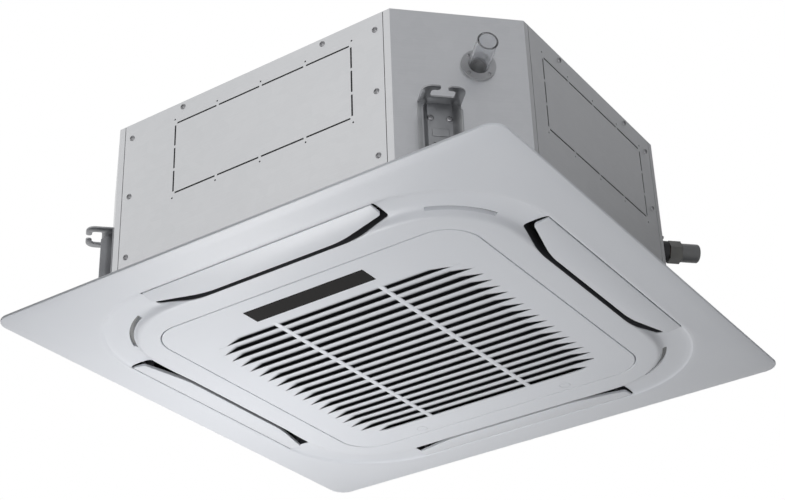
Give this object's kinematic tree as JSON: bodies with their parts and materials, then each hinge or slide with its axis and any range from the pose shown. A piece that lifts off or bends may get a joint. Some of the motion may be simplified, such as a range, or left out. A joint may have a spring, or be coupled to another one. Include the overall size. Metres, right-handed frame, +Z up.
{
  "type": "cassette fan coil unit",
  "caption": "Ceiling cassette fan coil unit with an octagonal sheet-steel casing, turbo fan, ring coil, drain pump and a square white panel with louvers and a hinged grille.",
  "frame": {"origin": "middle of the ceiling plane, on the top face of the panel's rim", "axes": "+Z up into the ceiling void, -Y towards the side with the display, +X towards the drain corner's right"},
  "size_m": [0.95, 0.95, 0.3334],
  "materials": {
    "galvanised_steel": "spangled zinc",
    "steel_screws": "bright zinc",
    "foam": "dark moulded foam",
    "fin_aluminium": "fine fins",
    "copper": "drawn copper",
    "brass": "nickel-plated brass",
    "rubber": "matt",
    "cap_plastic": "satin",
    "motor_paint": "satin",
    "dark_plastic": "satin",
    "clear_plastic": "clear",
    "hose_rubber": "satin",
    "socket_plastic": "satin",
    "white_plastic": "fine satin",
    "filter_net": "net",
    "display_glass": "gloss",
    "circuit_board": "satin"
  },
  "bodies": {
    "casing": {"top_plate": "galvanised_steel", "front_side_panel": "galvanised_steel", "right_side_panel": "galvanised_steel", "back_side_panel": "galvanised_steel", "left_side_panel": "galvanised_steel", "drain_corner_panel": "galvanised_steel", "pipe_corner_panel": "galvanised_steel", "back_left_corner_panel": "galvanised_steel", "front_left_corner_panel": "galvanised_steel", "base_frame": "galvanised_steel", "drain_hanger_bracket": "galvanised_steel", "pipe_hanger_bracket": "galvanised_steel", "back_left_hanger_bracket": "galvanised_steel", "front_left_hanger_bracket": "galvanised_steel", "coil_end_plates": "galvanised_steel", "pump_bracket": "galvanised_steel", "control_box": "galvanised_steel", "control_box_cover": "galvanised_steel", "casing_screws": "steel_screws", "panel_screws": "steel_screws", "grille_hinge_pins": "steel_screws", "float_stem": "steel_screws", "foam_liner": "foam", "drain_pan": "foam", "panel_seal": "foam", "coil_fins": "fin_aluminium", "coil_return_bends": "copper", "coil_headers": "copper", "water_outlet_stub": "copper", "water_inlet_stub": "copper", "union_nuts": "brass", "bleed_valve": "brass", "pipe_sleeves": "rubber", "motor_bushes": "rubber", "pipe_caps": "cap_plastic", "fan_motor": "motor_paint", "bellmouth": "dark_plastic", "drain_pump": "dark_plastic", "front_louver_motor": "dark_plastic", "right_louver_motor": "dark_plastic", "back_louver_motor": "dark_plastic", "left_louver_motor": "dark_plastic", "drain_pipe": "clear_plastic", "drain_hose": "hose_rubber", "drain_socket_flange": "socket_plastic", "panel_frame": "white_plastic"},
    "fan": {"fan_impeller": "dark_plastic", "motor_shaft": "steel_screws", "shaft_nut": "steel_screws"},
    "front_louver": {"front_louver": "white_plastic"},
    "right_louver": {"right_louver": "white_plastic"},
    "back_louver": {"back_louver": "white_plastic"},
    "left_louver": {"left_louver": "white_plastic"},
    "grille": {"suction_grille": "white_plastic", "air_filter": "filter_net", "display_window": "display_glass", "display_board": "circuit_board"},
    "left_latch": {"left_grille_latch": "white_plastic"},
    "right_latch": {"right_grille_latch": "white_plastic"},
    "float": {"float": "dark_plastic"}
  },
  "joints": [
    {"name": "fan_spin", "type": "hinge", "parent": "casing", "child": "fan", "pos_m": [0, 0, 0.2], "axis": [0, 0, 1], "continuous": true},
    {"name": "front_louver_swing", "type": "hinge", "parent": "casing", "child": "front_louver", "pos_m": [0, -0.3805, 0.005], "axis": [1, 0, 0], "range_deg": [0, 45]},
    {"name": "right_louver_swing", "type": "hinge", "parent": "casing", "child": "right_louver", "pos_m": [0.3805, 0, 0.005], "axis": [0, 1, 0], "range_deg": [0, 45]},
    {"name": "back_louver_swing", "type": "hinge", "parent": "casing", "child": "back_louver", "pos_m": [0, 0.3805, 0.005], "axis": [-1, 0, 0], "range_deg": [0, 45]},
    {"name": "left_louver_swing", "type": "hinge", "parent": "casing", "child": "left_louver", "pos_m": [-0.3805, 0, 0.005], "axis": [0, -1, 0], "range_deg": [0, 45]},
    {"name": "grille_swing", "type": "hinge", "parent": "casing", "child": "grille", "pos_m": [0, -0.292, -0.0144], "axis": [-1, 0, 0], "range_deg": [0, 90]},
    {"name": "left_latch_push", "type": "slide", "parent": "grille", "child": "left_latch", "axis": [0, 0, 1], "range_m": [0, 0.003], "stiffness_N_per_m": 400},
    {"name": "right_latch_push", "type": "slide", "parent": "grille", "child": "right_latch", "axis": [0, 0, 1], "range_m": [0, 0.003], "stiffness_N_per_m": 400},
    {"name": "float_rise", "type": "slide", "parent": "casing", "child": "float", "axis": [0, 0, 1], "range_m": [0, 0.018]}
  ]
}
